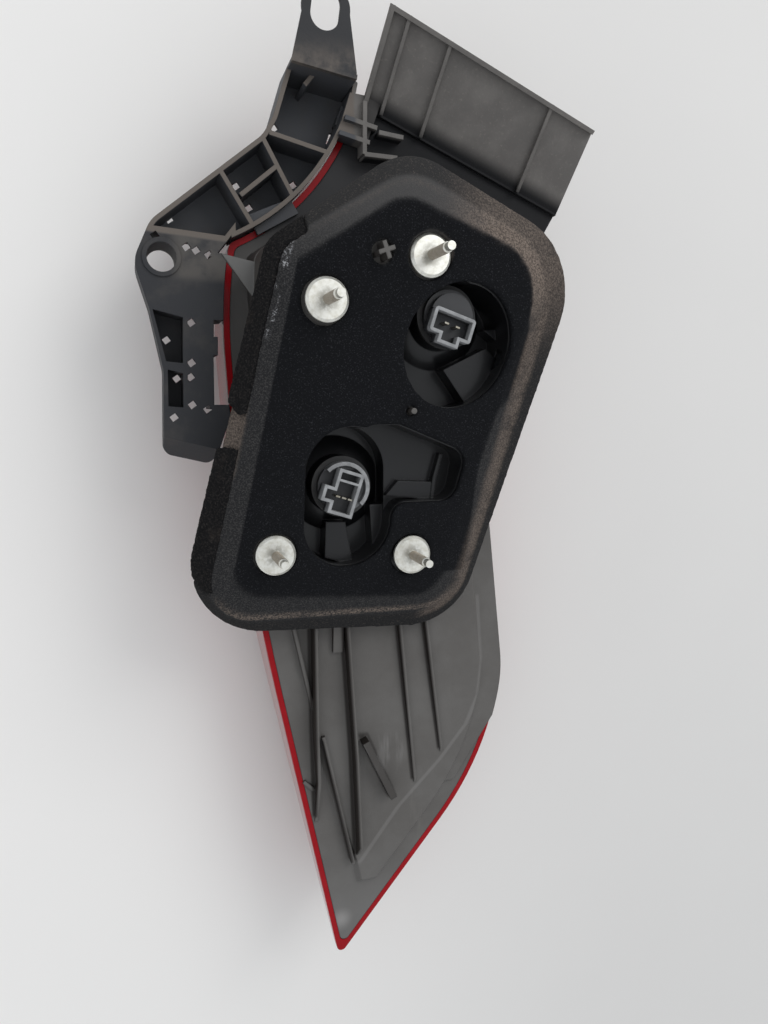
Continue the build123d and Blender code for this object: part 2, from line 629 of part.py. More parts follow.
def lower_collar(place, base):
    """The long collar with a slot across its top and a step at its side, in half a ring."""
    width, length = LOWER_PLUG
    clear = width - 2 * CONNECTOR_WALL
    low = LOWER_PLUG_TOP - length + CONNECTOR_WALL
    slot_y = LOWER_PLUG_TOP - CONNECTOR_WALL - PLUG_SLOT_H / 2
    high = slot_y - PLUG_SLOT_H / 2 - PLUG_DIVIDER
    step = Pos(-width / 2, PLUG_STEP_Y)
    outer = Pos(0, LOWER_PLUG_TOP - length / 2) * Rectangle(width, length)
    outer += step * Rectangle(2 * PLUG_STEP[0], PLUG_STEP[1])
    inner = Pos(0, slot_y) * Rectangle(clear, PLUG_SLOT_H)
    inner += Pos(0, (low + high) / 2) * Rectangle(clear, high - low)
    inner += step * Rectangle(2 * (PLUG_STEP[0] - CONNECTOR_WALL), PLUG_STEP[1] - 2 * CONNECTOR_WALL)
    ring = Circle(HOLDER_FLANGE_D / 2) - Circle(HOLDER_FLANGE_D / 2 - PLUG_RING_T)
    half = Pos(0, HOLDER_FLANGE_D / 2) * Rectangle(2 * HOLDER_FLANGE_D, HOLDER_FLANGE_D)
    ring &= Rot(0, 0, PLUG_RING_TURN) * half
    return holder_frame(place) * (open_collar(outer, inner, base) + column(ring, base, base + PLUG_RING_H))


def holder_base(place, flange_z):
    low = holder_mouth(flange_z)
    body = cylinder(place, HOLDER_FLANGE_D, flange_z - HOLDER_FLANGE_T, flange_z)
    body += cylinder(place, HOLDER_BODY_D, low, flange_z)
    return body - cylinder(place, HOLDER_SOCKET_D, low, low + HOLDER_SOCKET_L)


def holder_seal(place, flange_z):
    ring = Circle(SEAL_D / 2) - Circle(neck_bore() / 2 + SEAL_IN)
    return column(Pos(*place) * ring, neck_seat(flange_z), flange_z - HOLDER_FLANGE_T)


def terminals(place, flange_z, places):
    """Blades from the plug collar down through the holder to the sides of the bulb's base."""
    low = contact_z(flange_z)
    reach = CONNECTOR_SHIFT - BULB_BASE[1] / 2 - LEAD_D
    blades = []
    for along in places:
        blade = column(Pos(along, -CONNECTOR_SHIFT) * Rectangle(*BLADE), low, flange_z + BLADE_L)
        arm = Pos(along, reach / 2 - CONNECTOR_SHIFT) * Rectangle(BLADE[0], reach)
        contact = column(arm, low, low + CONTACT_H)
        blades.append(holder_frame(place) * (blade + contact))
    return blades


def filament(place, flange_z, places):
    """Two lead wires folded over the bulb's base, with the filament across their inner ends."""
    low = holder_mouth(flange_z) - BULB_GAP - FILAMENT_DEEP
    high = holder_mouth(flange_z) + HOLDER_SOCKET_L - LEAD_D / 2
    over = BULB_BASE[1] / 2 + LEAD_D / 2
    wire = Circle(LEAD_D / 2)
    first, last = places[0], places[-1]
    body = extrude(Plane(origin=(first, 0, low + LEAD_D), z_dir=(1, 0, 0)) * wire, amount=last - first)
    for along in (first, last):
        path = FilletPolyline((along, 0, low), (along, 0, high), (along, -over, high),
                              (along, -over, contact_z(flange_z)), radius=LEAD_BEND)
        body += sweep(Pos(along, 0, low) * wire, path=path)
    return holder_frame(place) * body


def envelope(top, depth):
    """The bulb's glass as a turned body, or the space inside it."""
    half = BULB_D / 2 - depth
    high = top - depth
    low = top - BULB_L + depth
    outline = [Line((0, high), (half - BULB_NECK, high)),
               Line((half - BULB_NECK, high), (half, high - BULB_NECK)),
               Line((half, high - BULB_NECK), (half, low + half)),
               RadiusArc((half, low + half), (0, low), half), Line((0, low), (0, high))]
    return revolve(Plane.XZ * make_face(outline), axis=Axis.Z)


def bulb(place, flange_z, places):
    """Wedge base bulb, its base pushed up into the holder."""
    top = holder_mouth(flange_z) - BULB_GAP
    high = holder_mouth(flange_z) + HOLDER_SOCKET_L - LEAD_D / 2 - LEAD_BEND
    body = envelope(top, 0) - envelope(top, BULB_WALL)
    body += column(Rectangle(*BULB_BASE), top - BULB_WALL / 2, high)
    for along in (places[0], places[-1]):
        body -= cylinder((along, 0), LEAD_D, top - BULB_L / 2, high)
    return holder_frame(place) * body


# Reflector
def bowl(place, apex, radius):
    low = FLANGE_Z - REFLECTOR_T
    middle = (BOWL_HOLE_R + radius) / 2
    share = (middle**2 - BOWL_HOLE_R**2) / (radius**2 - BOWL_HOLE_R**2)
    inner = ThreePointArc((BOWL_HOLE_R, apex), (middle, apex + (low - apex) * share), (radius, low))
    outer = ThreePointArc((BOWL_HOLE_R, apex + REFLECTOR_T),
                          (middle + REFLECTOR_T, apex + (low - apex) * share), (radius + REFLECTOR_T, low))
    ends = [Line(inner @ 0, outer @ 0), Line(inner @ 1, outer @ 1)]
    return Pos(*place) * revolve(Plane.XZ * make_face([inner, outer, *ends]), axis=Axis.Z)


def reflector():
    plate = lens_plan(REFLECTOR_INSET)
    bowls = []
    for place, radius in ((UPPER_HOLDER, UPPER_BOWL_R), (LOWER_HOLDER, LOWER_BOWL_R)):
        plate -= Pos(*place) * Circle(radius + REFLECTOR_T / 2)
        apex = well_floor(place) - WELL_WALL - BOWL_GAP - REFLECTOR_T
        bowls.append(bowl(place, apex, radius))
    body = column(plate, FLANGE_Z - REFLECTOR_T, FLANGE_Z)
    for cup in bowls:
        body += cup
    return body


# Bracket with its tray
def bracket_plan():
    inside_r = [BRACKET_INSIDE_R] * len(BRACKET_INSIDE)
    outline = rounded(BRACKET_EDGE + BRACKET_INSIDE, [*BRACKET_EDGE_R, *inside_r])
    outline -= offset(LENS_SHARP, amount=BRACKET_GAP, kind=Kind.INTERSECTION)
    for corners in (SIDE_GAP, CORNER_GAP):
        outline -= polygon(corners)
    return outline.faces().sort_by(SortBy.AREA)[-1]


def below_shelf():
    run = (SHELF[1][0] - SHELF[0][0], SHELF[1][1] - SHELF[0][1])
    half = Pos(0, -REACH / 2) * Rectangle(2 * REACH, REACH)
    return Pos(*SHELF[0]) * Rot(0, 0, degrees(atan2(run[1], run[0]))) * half


def end_plane():
    """The sloped end of the bracket, as a plane through the edge of its top."""
    (x, y), last = END_EDGE
    run = Vector(last[0] - x, last[1] - y).normalized()
    out = Vector(run.Y, -run.X) * sin(radians(END_SLOPE)) + Vector(0, 0, cos(radians(END_SLOPE)))
    return Plane(origin=(x, y, BRACKET_TOP), x_dir=run, z_dir=out)


def small_hole(place):
    return Pos(*place) * Rot(0, 0, CELL_HOLE_TURN) * Rectangle(*CELL_HOLE)


def bracket_frame():
    plan = Sketch() + bracket_plan()
    wall = plan - inset(plan, BRACKET_WALL)
    room = inset(plan, BRACKET_WALL / 2)
    floor = room - below_shelf() - polygon(FLOOR_SLOT)
    plate = room & below_shelf()
    body = column(wall, BRACKET_LOW, BRACKET_TOP)
    for place in CELL_HOLES:
        floor -= small_hole(place)
    body += column(floor, BRACKET_LOW, BRACKET_LOW + BRACKET_FLOOR)
    for start, end in RIBS:
        body += column(strip(start, end, BRACKET_WALL) & room, BRACKET_LOW, BRACKET_TOP)
    body += column(strip(*SHELF, BRACKET_WALL) & room, BRACKET_LOW, BRACKET_TOP)
    body += column(strip(*TONGUE, BRACKET_WALL), BRACKET_LOW, BRACKET_LOW + TONGUE_H)
    for place in PLATE_HOLES:
        plate -= small_hole(place)
    body += column(plate, BRACKET_TOP - BRACKET_FLOOR, BRACKET_TOP)
    for corners in (WINDOW_UPPER, WINDOW_LOWER):
        window = polygon(corners)
        low = BRACKET_TOP - WINDOW_DEEP
        tub = column(offset(window, amount=BRACKET_WALL) & room, low - BRACKET_FLOOR, BRACKET_TOP)
        body += tub
        body -= column(window, low, BRACKET_TOP)
    for place in WINDOW_SLOTS:
        body -= column(small_hole(place), BRACKET_LOW, BRACKET_TOP - BRACKET_FLOOR)
    body += cylinder(BORE_PLACE, BORE_D + 2 * BORE_WALL, BRACKET_LOW, BRACKET_TOP + BORE_RING)
    body -= cylinder(BORE_PLACE, BORE_D, BRACKET_LOW, BRACKET_TOP + BORE_RING)
    slope = end_plane()
    body -= extrude(slope * Rectangle(REACH, REACH), amount=REACH)
    return body + (extrude(slope * Rectangle(REACH, REACH), amount=-BRACKET_FLOOR)
                   & column(room, BRACKET_LOW, BRACKET_TOP))


def eyelet_tab():
    plate = rounded(TAB, TAB_R) + Pos(*TAB_END) * Circle(TAB_END_D / 2)
    plate -= Pos(*EYE) * Rot(0, 0, EYE_TURN) * SlotOverall(EYE_L, EYE_W)
    body = column(plate, TAB_Z - TAB_T, TAB_Z)
    return body + column(strip(TAB[0], TAB[1], BRACKET_WALL), BRACKET_LOW, TAB_Z)


def tray():
    along = Vector(*TRAY_RIGHT) - Vector(*TRAY_LEFT)
    down = Vector(*TRAY_LOW) - Vector(*TRAY_RIGHT)
    plane = Plane(origin=TRAY_LEFT, x_dir=along, z_dir=down.cross(along))
    width = along.length
    low = plane.to_local_coords(Vector(*TRAY_LOW))
    skew = low.X - width
    corners = ((0, 0), (width, 0), (low.X, low.Y), (skew, low.Y))
    body = extrude(plane * polygon(corners), amount=-TRAY_T)
    lips = [strip((0, -TRAY_LIP_T / 2), (width, -TRAY_LIP_T / 2), TRAY_LIP_T),
            strip((TRAY_LIP_T / 2, 0), (skew + TRAY_LIP_T / 2, low.Y), TRAY_LIP_T)]
    ribs = [strip((place, 0), (place + skew, low.Y), TRAY_RIB_T) for place in TRAY_RIB_PLACES]
    for band, height in [(lip, TRAY_LIP) for lip in lips] + [(rib, TRAY_RIB_H) for rib in ribs]:
        body += extrude(plane * band, amount=height)
    corner = Vector(*TRAY_LOW) - along
    body += column(strip((corner.X, corner.Y), TRAY_LOW[:2], TRAY_T), POST_LOW, TRAY_LOW[2])
    body += column(strip((corner.X, corner.Y), POST_END, POST_T), POST_LOW, POST_Z)
    body += column(strip(POST_END, POST_FOOT, POST_T), POST_LOW, POST_Z)
    for start, end in BARS:
        body += column(strip(start, end, POST_T), POST_LOW, POST_Z)
    apron = polygon(((corner.X, corner.Y), TRAY_LOW[:2], APRON_LOW, POST_FOOT, POST_END))
    body += column(apron, POST_LOW, POST_LOW + TRAY_T)
    return body + column(polygon(LINK), BRACKET_TOP - BRACKET_FLOOR, BRACKET_TOP)


def mounting_bracket():
    clip = column(polygon(CLIP), RIM_Z, RIM_Z + CLIP_T)
    return bracket_frame() + eyelet_tab() + tray() + clip


def nodes():
    upper = (UPPER_HOLDER, UPPER_FLANGE_Z)
    lower = (LOWER_HOLDER, LOWER_FLANGE_Z)
    upper_blades = terminals(*upper, UPPER_BLADES)
    lower_blades = terminals(*lower, LOWER_BLADES)
    strips = foam_strips()
    upper_holder = holder_base(*upper)
    connector = upper_collar(*upper)
    lower_holder = holder_base(*lower) + lower_collar(*lower)
    for blade in upper_blades:
        upper_holder -= blade
        connector -= blade
    for blade in lower_blades:
        lower_holder -= blade
    return {
        "lamp_housing": lamp_housing(),
        "outer_lens": outer_lens(),
        "reflector": reflector(),
        "foam_gasket": foam_gasket(),
        "foam_strip_upper": strips[0],
        "foam_strip_lower": strips[1],
        "mounting_studs": Compound(children=mounting_studs()),
        "mounting_bracket": mounting_bracket(),
        "upper_bulb_holder": upper_holder,
        "upper_connector": connector,
        "upper_holder_seal": holder_seal(*upper),
        "upper_terminals": Compound(children=upper_blades),
        "upper_bulb": bulb(*upper, UPPER_BLADES),
        "upper_filament": filament(*upper, UPPER_BLADES),
        "lower_bulb_holder": lower_holder,
        "lower_holder_seal": holder_seal(*lower),
        "lower_terminals": Compound(children=lower_blades),
        "lower_bulb": bulb(*lower, LOWER_BLADES),
        "lower_filament": filament(*lower, LOWER_BLADES),
    }


os.makedirs("parts", exist_ok=True)
for name, shape in nodes().items():
    export_step(shape, f"parts/{name}.step")
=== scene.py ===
import json
import math
import bmesh
import bpy
from mathutils import Matrix, Vector, noise


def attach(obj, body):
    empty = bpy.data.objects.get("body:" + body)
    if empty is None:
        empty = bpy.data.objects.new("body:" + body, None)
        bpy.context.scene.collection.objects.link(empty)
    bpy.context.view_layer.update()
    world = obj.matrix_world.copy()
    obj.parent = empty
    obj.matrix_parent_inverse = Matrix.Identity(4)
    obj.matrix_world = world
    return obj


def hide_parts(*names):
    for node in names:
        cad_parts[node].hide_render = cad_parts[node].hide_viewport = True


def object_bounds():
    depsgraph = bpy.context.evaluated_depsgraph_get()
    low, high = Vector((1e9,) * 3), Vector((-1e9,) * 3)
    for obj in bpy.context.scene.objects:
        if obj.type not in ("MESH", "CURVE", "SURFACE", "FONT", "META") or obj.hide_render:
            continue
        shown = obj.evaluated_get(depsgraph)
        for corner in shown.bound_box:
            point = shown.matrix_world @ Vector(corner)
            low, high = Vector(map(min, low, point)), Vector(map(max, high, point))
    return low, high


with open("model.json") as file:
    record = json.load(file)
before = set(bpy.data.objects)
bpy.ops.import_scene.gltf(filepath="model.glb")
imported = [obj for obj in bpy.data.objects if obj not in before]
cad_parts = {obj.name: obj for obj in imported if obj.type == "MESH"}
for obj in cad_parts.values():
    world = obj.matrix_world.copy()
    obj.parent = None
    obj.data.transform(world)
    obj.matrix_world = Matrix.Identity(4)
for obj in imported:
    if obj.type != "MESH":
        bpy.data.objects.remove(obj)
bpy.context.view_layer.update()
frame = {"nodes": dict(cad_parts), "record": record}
nodes = frame["nodes"]
mounts = {mount["name"]: Vector(mount["pos_m"]) for mount in frame["record"]["mounts"]}

# The pad's plane, in metres, from the seats of the four studs
STUDS = ("stud_upper_left", "stud_upper_right", "stud_lower_left", "stud_lower_right")
PAD_BELOW_SEAT = 0.0025
upper_seats = (mounts["stud_upper_left"] + mounts["stud_upper_right"]) / 2
lower_seats = (mounts["stud_lower_left"] + mounts["stud_lower_right"]) / 2
pad_origin = Vector((0.0, upper_seats.y, -PAD_BELOW_SEAT))
pad_along = upper_seats - lower_seats
pad_along.x = 0.0
pad_along.normalize()
pad_out = Vector((0.0, -pad_along.z, pad_along.y))

# Edges that a material rounds, and the soft edges of bands beside a line: painted shadow with grime, a
# darker band and painted highlights
EDGE_R = 0.0005
HOUSING_EDGE_R = 0.0012
EDGE_SAMPLES = 4
BAND_SOFT_ACROSS = 0.0008
BAND_SOFT_ALONG = 0.0012

# Depth of the relief in each surface
PAD_RELIEF = 0.0005
STRIP_RELIEF = 0.0008
HOUSING_RELIEF = 0.00008
BRACKET_RELIEF = 0.00015
COLLAR_RELIEF = 0.00005
THREAD_RELIEF = 0.00025


class Value:
    """A shader value that can be used in sums."""

    def __init__(self, paint, out):
        self.paint = paint
        self.out = out

    def maths(self, kind, first, second=0.0):
        return self.paint.node("ShaderNodeMath", {"operation": kind}, [first, second])

    def __add__(self, other):
        return self.maths("ADD", self, other)

    def __radd__(self, other):
        return self.maths("ADD", other, self)

    def __sub__(self, other):
        return self.maths("SUBTRACT", self, other)

    def __rsub__(self, other):
        return self.maths("SUBTRACT", other, self)

    def __mul__(self, other):
        return self.maths("MULTIPLY", self, other)

    def __rmul__(self, other):
        return self.maths("MULTIPLY", other, self)

    def __pow__(self, other):
        return self.maths("POWER", self, other)

    def larger(self, other):
        return self.maths("MAXIMUM", self, other)

    def sine(self):
        return self.maths("SINE", self)

    def step(self, low, high):
        """0 below low, 1 above high and smooth between them."""
        inputs = [self, low, high, 0.0, 1.0]
        return self.paint.node("ShaderNodeMapRange", {"interpolation_type": "SMOOTHSTEP"}, inputs)

    def between(self, low, high, soft):
        """1 from low to high, with soft edges."""
        return self.step(low - soft, low + soft) * (1.0 - self.step(high - soft, high + soft))


class Paint:
    """A procedural material in the object's own coordinates, in metres."""

    def __init__(self, name, **shader):
        self.material = bpy.data.materials.new(name)
        self.material.use_nodes = True
        self.tree = self.material.node_tree
        self.shader = self.tree.nodes["Principled BSDF"]
        for socket, value in shader.items():
            self.put(socket.replace("_", " "), value)
        self.coords = self.node("ShaderNodeTexCoord", {}, {}, "Object")
        self.x, self.y, self.z = self.split(self.coords)

    def node(self, kind, settings, inputs, out=0):
        """Any node: its type, its settings, then what goes into its sockets."""
        made = self.tree.nodes.new(kind)
        for key, value in settings.items():
            setattr(made, key, value)
        items = inputs.items() if isinstance(inputs, dict) else enumerate(inputs)
        for key, value in items:
            self.set(made.inputs[key], value)
        return Value(self, made.outputs[out])

    def set(self, socket, value):
        if isinstance(value, Value):
            self.tree.links.new(value.out, socket)
        elif socket.type == "RGBA":
            socket.default_value = (*value, 1.0)
        else:
            socket.default_value = value

    def put(self, socket, value):
        self.set(self.shader.inputs[socket], value)

    def split(self, vector):
        first = self.node("ShaderNodeSeparateXYZ", {}, [vector])
        return [Value(self, first.out.node.outputs[axis]) for axis in "XYZ"]

    def facing(self):
        """The three parts of the surface's own direction."""
        return self.split(self.node("ShaderNodeTexCoord", {}, {}, "Normal"))

    def noise(self, scale, detail=4.0, rough=0.55, stretch=None):
        """Cloudy noise with about `scale` lumps to the metre, stretched along an axis if asked."""
        coords = self.coords
        if stretch:
            coords = self.node("ShaderNodeMapping", {}, {"Vector": coords, "Scale": stretch})
        inputs = {"Vector": coords, "Scale": scale, "Detail": detail, "Roughness": rough}
        return self.node("ShaderNodeTexNoise", {}, inputs, "Fac")

    def mix(self, share, first, second):
        return self.node("ShaderNodeMix", {"data_type": "RGBA"}, {0: share, 6: first, 7: second}, 2)

    def bump(self, height, distance, strength=1.0, edge=0.0):
        """Small relief, over edges that are rounded by a radius if asked."""
        inputs = {"Strength": strength, "Distance": distance, "Height": height}
        if edge:
            inputs["Normal"] = self.node("ShaderNodeBevel", {"samples": EDGE_SAMPLES}, {"Radius": edge})
        self.put("Normal", self.node("ShaderNodeBump", {}, inputs))

    def disc(self, middle, inner, outer):
        """1 within the inner radius round a place in plan, and 0 beyond the outer one."""
        across, along = self.x - middle[0], self.y - middle[1]
        return 1.0 - ((across * across + along * along) ** 0.5).step(inner, outer)

    def box(self, low, high, soft):
        """1 inside a box in plan, with soft edges."""
        return self.x.between(low[0], high[0], soft) * self.y.between(low[1], high[1], soft)

    def beside(self, start, end, width):
        """1 within a width to the left of a line that runs from start down to end."""
        slope = (end[0] - start[0]) / (end[1] - start[1])
        off = start[0] - self.x + (self.y - start[1]) * slope
        stretch = self.y.between(end[1], start[1], BAND_SOFT_ALONG)
        return off.between(0.0, width, BAND_SOFT_ACROSS) * stretch

    def pad(self):
        """How far a point lies below the pad's face, and its place along the pad."""
        y, z = self.y - pad_origin.y, self.z - pad_origin.z
        return 0.0 - (y * pad_out.y + z * pad_out.z), y * pad_along.y + z * pad_along.z


def give(paint, *pieces):
    for piece in pieces:
        piece.data.materials.clear()
        piece.data.materials.append(paint.material)


# Foam pieces: grid size, rounds of easing, and how deep and how fine their cut faces are roughened
PAD_VOXEL = 0.0011
PAD_EASE = 8
PAD_RAGGED = 0.0001
PAD_GRAIN = 260.0
STRIP_VOXEL = 0.0007
STRIP_EASE = 4
STRIP_RAGGED = 0.0003
STRIP_GRAIN = 600.0
FOAM_SKIN = 0.0002
EASE_SHARE = 0.5
MERGE_DISTANCE = 1e-6
# Fall, gap and number of the octaves in the roughness
RAGGED_OCTAVES = (1.0, 2.0, 3)


def soft_copy(name, voxel, ease_rounds, ragged, grain):
    """A foam piece made from its solid: remeshed, eased and roughened just inside the solid's skin."""
    shape = bmesh.new()
    shape.from_mesh(nodes[name].data)
    bmesh.ops.remove_doubles(shape, verts=shape.verts, dist=MERGE_DISTANCE)
    mesh = bpy.data.meshes.new(name + "_soft")
    shape.to_mesh(mesh)
    piece = bpy.data.objects.new(name + "_soft", mesh)
    bpy.context.scene.collection.objects.link(piece)
    remesh = piece.modifiers.new("remesh", "REMESH")
    remesh.mode = "VOXEL"
    remesh.voxel_size = voxel
    ease = piece.modifiers.new("ease", "SMOOTH")
    ease.factor = EASE_SHARE
    ease.iterations = ease_rounds
    ready = piece.evaluated_get(bpy.context.evaluated_depsgraph_get())
    piece.data = bpy.data.meshes.new_from_object(ready)
    piece.modifiers.clear()
    shape.clear()
    shape.from_mesh(piece.data)
    shape.normal_update()
    for vert in shape.verts:
        depth = FOAM_SKIN + ragged * (1.0 + noise.fractal(vert.co * grain, *RAGGED_OCTAVES))
        vert.co -= vert.normal * max(depth, FOAM_SKIN)
    for face in shape.faces:
        face.smooth = True
    shape.to_mesh(piece.data)
    shape.free()
    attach(piece, "root")
    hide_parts(name)
    return piece


# A pair of lengths is where a mask changes over, and three are a band's two ends and its soft edge

# The two wells in plan: the upper one round, the lower one within a box, and what they leave open in the pad
UPPER_WELL = (0.068, -0.0184)
UPPER_WELL_EDGE = (0.033, 0.037)
LOWER_WELL = ((-0.012, -0.133), (0.082, -0.052), 0.002)
UPPER_OPENING_EDGE = (0.038, 0.042)
LOWER_OPENING = ((-0.015, -0.136), (0.085, -0.050), 0.001)

# Bands of the pad, by the distance below its face
BORDER_DROP = (0.0003, 0.0016)
LINE_DROP = (0.0036, 0.0049, 0.0006)
CREST_DROP = (0.0038, 0.0085, 0.0012)
OUTER_DROP = (0.0050, 0.0072)

# Sides of the pad: sideways run for each metre along it, then where each side begins across or along it
LEFT_LEAN = 0.1909
LEFT_ACROSS = (-0.0148, -0.0134)
RIGHT_LEAN = 0.2615
RIGHT_ACROSS = (0.103, 0.112)
TOP_ALONG = (-0.005, 0.040)
BOTTOM_ALONG = (-0.172, -0.152)
CORNER_ACROSS = (0.040, 0.080)
CORNER_ALONG = (-0.045, 0.010)

# The bare stretch between the strips, and the worn crease beside the upper left stud
BARE_ALONG = (-0.094, -0.060, 0.003)
BARE_DROP = (0.003, 0.005)
BARE_X = (-0.034, -0.030)
CREASE_LEAN = 0.249
CREASE_ACROSS = (-0.0207, -0.0176, 0.0008)
CREASE_ALONG = (-0.026, 0.024, 0.006)
CREASE_WORST = (0.002, 0.012)

# Foam colours, in pairs where the grain has a colour of its own
FACE_BLACK, FACE_GRAIN = (0.0066, 0.0069, 0.0080), (0.028, 0.029, 0.032)
BORDER_GREY, BORDER_GRAIN = (0.020, 0.0200, 0.0210), (0.052, 0.050, 0.049)
BORDER_FADED = (0.082, 0.079, 0.077)
# The outer side's darker black is painted shade, with brown specks in its grain
SIDE_SHADE_BLACK, SIDE_GRAIN = (0.015, 0.0148, 0.0152), (0.068, 0.058, 0.051)
DUST_BROWN, DUST_GRAIN = (0.076, 0.061, 0.052), (0.225, 0.180, 0.148)
CREASE_PALE = (0.40, 0.40, 0.41)
STRIP_BLACK, STRIP_SPECK = (0.0072, 0.0071, 0.0076), (0.036, 0.032, 0.030)
STRIP_DUST = (0.045, 0.036, 0.031)


def pad_dust(paint, speck, border, outer):
    """Dust on the pad's upper right corner, its ridge and the bare stretch between the strips."""
    drop, along = paint.pad()
    lean = paint.x - along * RIGHT_LEAN
    cloud = paint.noise(75.0, 5.0, 0.65)
    crest = drop.between(*CREST_DROP)
    line = drop.between(*LINE_DROP) * speck.step(0.38, 0.56)
    right, top = lean.step(*RIGHT_ACROSS), along.step(*TOP_ALONG)
    bottom = 1.0 - along.step(*BOTTOM_ALONG)
    ridge = (crest * right * 0.62).larger(line * top * 0.15).larger(line * bottom * 0.9)
    corner = border * lean.step(*CORNER_ACROSS) * along.step(*CORNER_ALONG) * (1.0 - outer * 0.45)
    bare = along.between(*BARE_ALONG) * drop.step(*BARE_DROP) * (1.0 - paint.x.step(*BARE_X))
    dust = (corner * cloud.step(0.16, 0.50)).larger(ridge * cloud.step(0.22, 0.55))
    return dust.larger(bare * cloud.step(0.20, 0.50) * 0.65)


def crease_wear(paint):
    """Broken pale scuffs along the pad's crease, more of them at its upper end."""
    along = paint.pad()[1]
    across = paint.x - along * CREASE_LEAN
    crease = across.between(*CREASE_ACROSS) * along.between(*CREASE_ALONG)
    patches = paint.noise(170.0, 2.0).step(0.44, 0.58).larger(along.step(*CREASE_WORST) * 0.7)
    return crease * paint.noise(800.0, 3.0, 0.8).step(0.51, 0.60) * patches


def foam_pad_paint():
    """Black foam with a fine grain, a greyer border, an outer side painted darker as painted shade, brown
    dust on its outer edges and a worn crease.
    """
    paint = Paint("foam pad", Roughness=0.95, Specular_IOR_Level=0.1)
    drop, along = paint.pad()
    grain = paint.noise(1500.0, 2.0)
    speck = paint.noise(1100.0, 3.0, 0.7)
    openings = paint.disc(UPPER_WELL, *UPPER_OPENING_EDGE).larger(paint.box(*LOWER_OPENING))
    left = 1.0 - (paint.x - along * LEFT_LEAN).step(*LEFT_ACROSS)
    border = drop.step(*BORDER_DROP).larger(left) * (1.0 - openings)
    outer = drop.step(*OUTER_DROP) * (1.0 - openings)
    face = paint.mix(grain.step(0.56, 0.72), FACE_BLACK, FACE_GRAIN)
    edge = paint.mix(grain.step(0.42, 0.70), BORDER_GREY, BORDER_GRAIN)
    shaded_side = paint.mix(speck.step(0.54, 0.68), SIDE_SHADE_BLACK, SIDE_GRAIN)
    brown = paint.mix(speck.step(0.36, 0.64), DUST_BROWN, DUST_GRAIN)
    colour = paint.mix(border, face, edge)
    colour = paint.mix(border * along.step(*TOP_ALONG) * 0.65, colour, BORDER_FADED)
    # Painted shade on the pad's outer side
    colour = paint.mix(outer * 0.70, colour, shaded_side)
    colour = paint.mix(pad_dust(paint, speck, border, outer) * 0.9, colour, brown)
    paint.put("Base Color", paint.mix(crease_wear(paint), colour, CREASE_PALE))
    paint.bump(grain, PAD_RELIEF, 0.8)
    return paint


def foam_strip_paint():
    """Black foam with a coarser grain and thin dust."""
    paint = Paint("foam strip", Roughness=0.95, Specular_IOR_Level=0.1)
    grain = paint.noise(1100.0, 3.0, 0.7)
    dust = paint.noise(60.0).step(0.55, 0.75) * 0.5
    colour = paint.mix(grain.step(0.45, 0.75), STRIP_BLACK, STRIP_SPECK)
    paint.put("Base Color", paint.mix(dust, colour, STRIP_DUST))
    paint.bump(grain, STRIP_RELIEF)
    return paint


# Painted shadow, with some grime, to the left of the tail's fins: where each line starts and ends, and its
# width
FIN_SHADOW_AND_GRIME = (((0.0055, -0.155), (0.0060, -0.232), 0.0028), ((0.0060, -0.232), (0.0070, -0.285), 0.0028),
             ((0.0229, -0.155), (0.0286, -0.248), 0.0033), ((0.0286, -0.248), (0.0309, -0.312), 0.0033),
             ((0.0537, -0.155), (0.0660, -0.270), 0.0020), ((0.0693, -0.155), (0.0830, -0.253), 0.0020),
             ((0.0101, -0.236), (0.0278, -0.316), 0.0018))
# A darker band beside the hook, in the same way, above its foot
HOOK_DARK_BAND = ((0.0372, -0.236), (0.0556, -0.279), 0.0064)
HOOK_FOOT = (-0.0645, -0.0635)
# Painted highlight along the rounded shoulder of the tail's right border, in the same way
SHOULDER_HIGHLIGHT = (((0.1080, -0.160), (0.1110, -0.200), 0.0024), ((0.1110, -0.200), (0.1088, -0.222), 0.0025),
            ((0.1088, -0.222), (0.1010, -0.240), 0.0026), ((0.1010, -0.240), (0.0842, -0.260), 0.0028),
            ((0.0842, -0.260), (0.0576, -0.286), 0.0030), ((0.0576, -0.286), (0.0329, -0.318), 0.0030))

# Paler places on the tail: its end, a glint at the tip and a scuff beside the hook
TAIL_END_Y = (-0.360, -0.300)
TIP_GLINT = ((0.0209, -0.3546), 0.0, 0.009)
HOOK_SCUFF = ((0.0495, -0.250), 0.004, 0.016)

# Painted shade on the deck beside the bracket, and the gusset's pale top
DECK_TOP = (-0.053, -0.049)
DECK_Y = (-0.060, -0.020)
DECK_DARKEST_Y = (0.026, 0.048)
GUSSET_TOP = (-0.0470, -0.0450, 0.0005)
GUSSET_X = (-0.020, -0.017)
GUSSET_Y = (-0.002, 0.0)

# Housing colours
HOUSING_GREY, HOUSING_PALER = (0.097, 0.0905, 0.0840), (0.119, 0.113, 0.106)
STREAK_PALE = (0.155, 0.146, 0.133)
TAIL_END_GREY = (0.160, 0.157, 0.152)
# Brown for painted shade with grime, and pale for painted highlights and a scuff
SHADE_AND_GRIME_BROWN = (0.018, 0.0145, 0.0122)
HIGHLIGHT_AND_SCUFF_PALE = (0.30, 0.29, 0.28)
GUSSET_GREY = (0.140, 0.137, 0.131)
# Painted shade on the deck beside the bracket
DECK_SHADE_BLACK = (0.011, 0.011, 0.013)
# Painted shade inside the wells
WELL_SHADE_BLACK = (0.0045, 0.0045, 0.0052)


